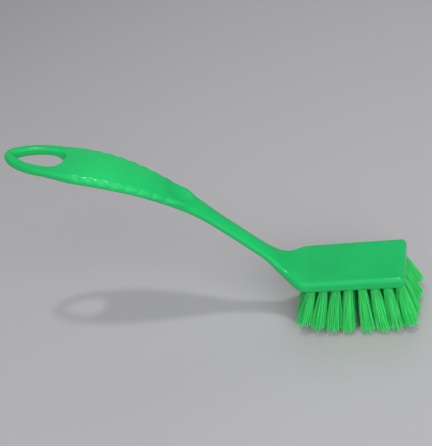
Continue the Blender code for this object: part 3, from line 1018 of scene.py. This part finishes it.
def tuft_curve(row, column):
    """One tuft as a curve object, a closed tube for each strand."""
    chance = np.random.default_rng(SEED_STEP * row + column)
    base = Vector((column * COLUMN_PITCH - LAST_COLUMN, row * ROW_PITCH - LAST_ROW, -HEAD_THICKNESS))
    lean = tuft_lean(base, column)
    curve = bpy.data.curves.new(f"tuft_r{row + 1}_c{column + 1}_filaments", "CURVE")
    curve.dimensions = "3D"
    curve.bevel_depth = STRAND_RADIUS
    curve.bevel_resolution = 0
    curve.use_fill_caps = True
    for number in range(STRANDS):
        places = strand_places(base, lean, row, column, number, chance)
        line = curve.splines.new("POLY")
        line.points.add(len(STATION_SHARES))
        for point, place, share in zip(line.points, places, (0.0, *STATION_SHARES)):
            point.co = (*place, 1)
            point.radius = 1 - TAPER_SHARE * share
    made = bpy.data.objects.new(curve.name, curve)
    bpy.context.scene.collection.objects.link(made)
    made.data.transform(to_place)
    return made


for row in range(ROWS):
    for column in range(COLUMNS):
        tuft = tuft_curve(row, column)
        tuft.data.materials.append(bristle_plastic)
        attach(tuft, "root")
        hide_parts(f"tuft_r{row + 1}_c{column + 1}")
print(ROWS * COLUMNS, "tufts of", STRANDS, "strands")

# %% [markdown]
# ## Floor
#
# The brush is shown as a maker would photograph a sample: alone on a plain pale sheet. One large
# face in a dull light grey is enough, since it has only to carry the shadow, and a rougher or
# curved backdrop would add nothing that tells about the brush.

# %% Floor
FLOOR_SIZE = 6.0
PAPER_ROUGHNESS = 0.9
PAPER_SHINE = 0.1


def floor_material():
    material, output = new_material("pale_floor")
    tree = material.node_tree
    shader = add_node(
        tree, "ShaderNodeBsdfPrincipled",
        inputs={
            "Base Color": linear("#B2B1B4"), "Roughness": PAPER_ROUGHNESS,
            "Specular IOR Level": PAPER_SHINE,
        },
    )
    tree.links.new(shader.outputs["BSDF"], output.inputs["Surface"])
    return material


sheet = bmesh.new()
bmesh.ops.create_grid(sheet, x_segments=1, y_segments=1, size=FLOOR_SIZE / 2)
floor = object_from(sheet, "floor")
floor.data.materials.append(floor_material())
print("the floor is", FLOOR_SIZE, "m wide")

# %% [markdown]
# ## Light
#
# Broad soft lamps show a plastic best: the form reads from slow gradients, and small highlights
# from the edges. The key, the window, stands to the front and near side, with weaker fills near
# and far, and a dim white sky fills the rest. The window and the far lamp leave no mirror image,
# because two long streaks would run down the handle; a small lamp overhead makes the few
# sparkles along the grip. The powers are set so that a colour on a level face renders about as
# it is written.

# %% World and lamps
SKY_STRENGTH = 0.3

world = bpy.data.worlds.new("studio")
bpy.context.scene.world = world
world.use_nodes = True
background = world.node_tree.nodes["Background"]
background.inputs["Color"].default_value = linear("#F4F5F7")
background.inputs["Strength"].default_value = SKY_STRENGTH


def softbox(name, direction, distance, size, power, mirrored):
    """A square lamp that looks at the middle of the brush, with or without a mirror image in it."""
    lamp = bpy.data.lights.new(name, "AREA")
    lamp.shape = "SQUARE"
    lamp.size = size
    lamp.energy = power
    made = bpy.data.objects.new(name, lamp)
    bpy.context.scene.collection.objects.link(made)
    aim = (cad_low + cad_high) / 2
    way = Vector(direction).normalized()
    made.location = aim + way * distance
    made.rotation_euler = (-way).to_track_quat("-Z", "Y").to_euler()
    made.visible_glossy = mirrored
    return made


# Directions point from the brush to the lamp, distances and sizes are in metres, powers in watts
lamps = [
    softbox("overhead", (0.1, -0.11, 0.98), distance=1.3, size=0.09, power=4.2, mirrored=True),
    softbox("window", (0.5, -0.65, 0.5), distance=2.0, size=1.4, power=28, mirrored=False),
    softbox("near", (0.1, -0.8, 0.5), distance=2.0, size=2.4, power=11, mirrored=True),
    softbox("far", (0.0, 0.64, 0.77), distance=2.0, size=1.4, power=6.5, mirrored=False),
]
print("lamps:", ", ".join(lamp.name for lamp in lamps))

# %% [markdown]
# ## Camera
#
# The camera looks from where the photograph was taken. Its three angles, its place and its lens
# were fitted to the outline of the brush in a picture of 432 by 446 pixels, so the focal length
# is written in that picture's pixels. A camera placed by eye would come close, but then no edge
# could be checked against the photograph. The brush in the picture leans a little and this one
# stands level, so the camera takes up the lean. Its place counts from the head's top, over the
# middle of the tufts.

# %% Camera
IMAGE_WIDTH, IMAGE_HEIGHT = 432, 446
FOCAL_PIXELS = 807.54
CENTRE_DROP_PIXELS = 11.6
YAW, PITCH, ROLL = 22.345 * DEGREE, 34.056 * DEGREE, -17.449 * DEGREE
CAMERA_PLACE = Vector((80.067, -403.613, 324.031)) * MM
NEAREST_SEEN = 10 * MM
# Blender gives lenses and sensors in millimetres
SENSOR_WIDTH = 36

camera_data = bpy.data.cameras.new("camera")
camera_data.sensor_width = SENSOR_WIDTH
camera_data.lens = FOCAL_PIXELS / max(IMAGE_WIDTH, IMAGE_HEIGHT) * SENSOR_WIDTH
camera_data.shift_y = CENTRE_DROP_PIXELS / max(IMAGE_WIDTH, IMAGE_HEIGHT)
camera_data.clip_start = NEAREST_SEEN
camera = bpy.data.objects.new("camera", camera_data)
bpy.context.scene.collection.objects.link(camera)
heading = Matrix.Rotation(YAW, 4, "Z")
tilt = Matrix.Rotation(math.pi / 2 - PITCH, 4, "X")
roll = Matrix.Rotation(ROLL, 4, "Z")
camera.matrix_world = to_place @ Matrix.Translation(CAMERA_PLACE) @ (heading @ tilt @ roll)
bpy.context.scene.camera = camera
bpy.context.scene.view_settings.view_transform = "Standard"
print("the camera has a", round(camera_data.lens, 1), "mm lens")
